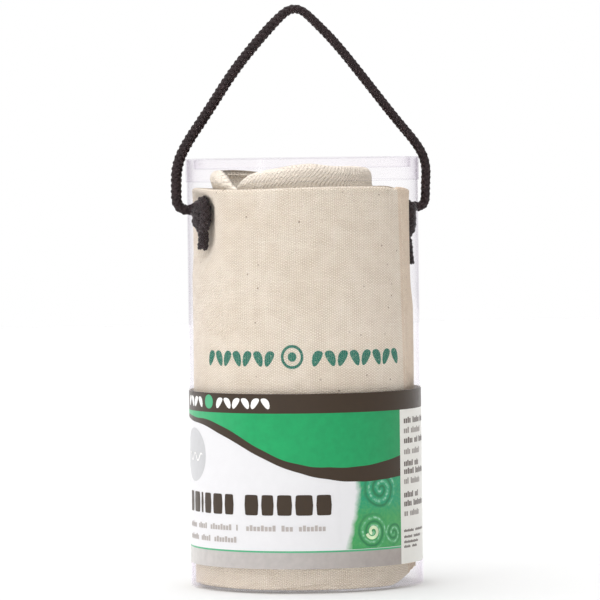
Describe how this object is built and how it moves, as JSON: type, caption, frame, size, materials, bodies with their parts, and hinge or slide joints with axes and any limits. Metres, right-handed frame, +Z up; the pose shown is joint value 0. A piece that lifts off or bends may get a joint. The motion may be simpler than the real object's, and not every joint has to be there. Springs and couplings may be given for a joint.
{
  "type": "artist apron in carry tube",
  "caption": "Canvas artist apron, folded and rolled in a clear carry tube with a push-on lid, a printed paper band and a braided cord handle.",
  "frame": {"origin": "middle of the base's underside, on the surface that the tube stands on", "axes": "+Z up along the tube; -Y is the front, where the print is; the two cord holes are on the X axis"},
  "size_m": [0.114, 0.101, 0.2507],
  "materials": {
    "clear_sheet": "clear glossy plastic sheet",
    "clear_cap": "clear glossy moulded plastic",
    "printed_paper": "coated paper, printed in green, dark brown and white",
    "black_cord": "hollow braid in near-black polyester",
    "cotton_canvas": "unbleached plain-weave cotton canvas",
    "cotton_tape": "unbleached cotton twill tape"
  },
  "bodies": {
    "tube": {"tube_wall": "clear_sheet", "base_cap": "clear_cap", "label_band": "printed_paper", "knot_left": "black_cord", "knot_right": "black_cord"},
    "apron": {"apron_body": "cotton_canvas", "apron_pocket": "cotton_canvas", "neck_strap": "cotton_tape", "waist_tie_left": "cotton_tape", "waist_tie_right": "cotton_tape"},
    "lid": {"lid": "clear_cap"},
    "handle": {"handle_cord": "black_cord"}
  },
  "joints": [
    {"name": "apron_lift", "type": "slide", "parent": "tube", "child": "apron", "axis": [0, 0, 1], "range_m": [0, 0.26]},
    {"name": "lid_lift", "type": "slide", "parent": "apron", "child": "lid", "axis": [0, 0, 1], "range_m": [0, 0.09], "deforming": ["handle_cord"]},
    {"name": "handle_swing", "type": "hinge", "parent": "tube", "child": "handle", "pos_m": [0, 0, 0.1625], "axis": [1, 0, 0], "range_deg": [-110, 110]}
  ]
}
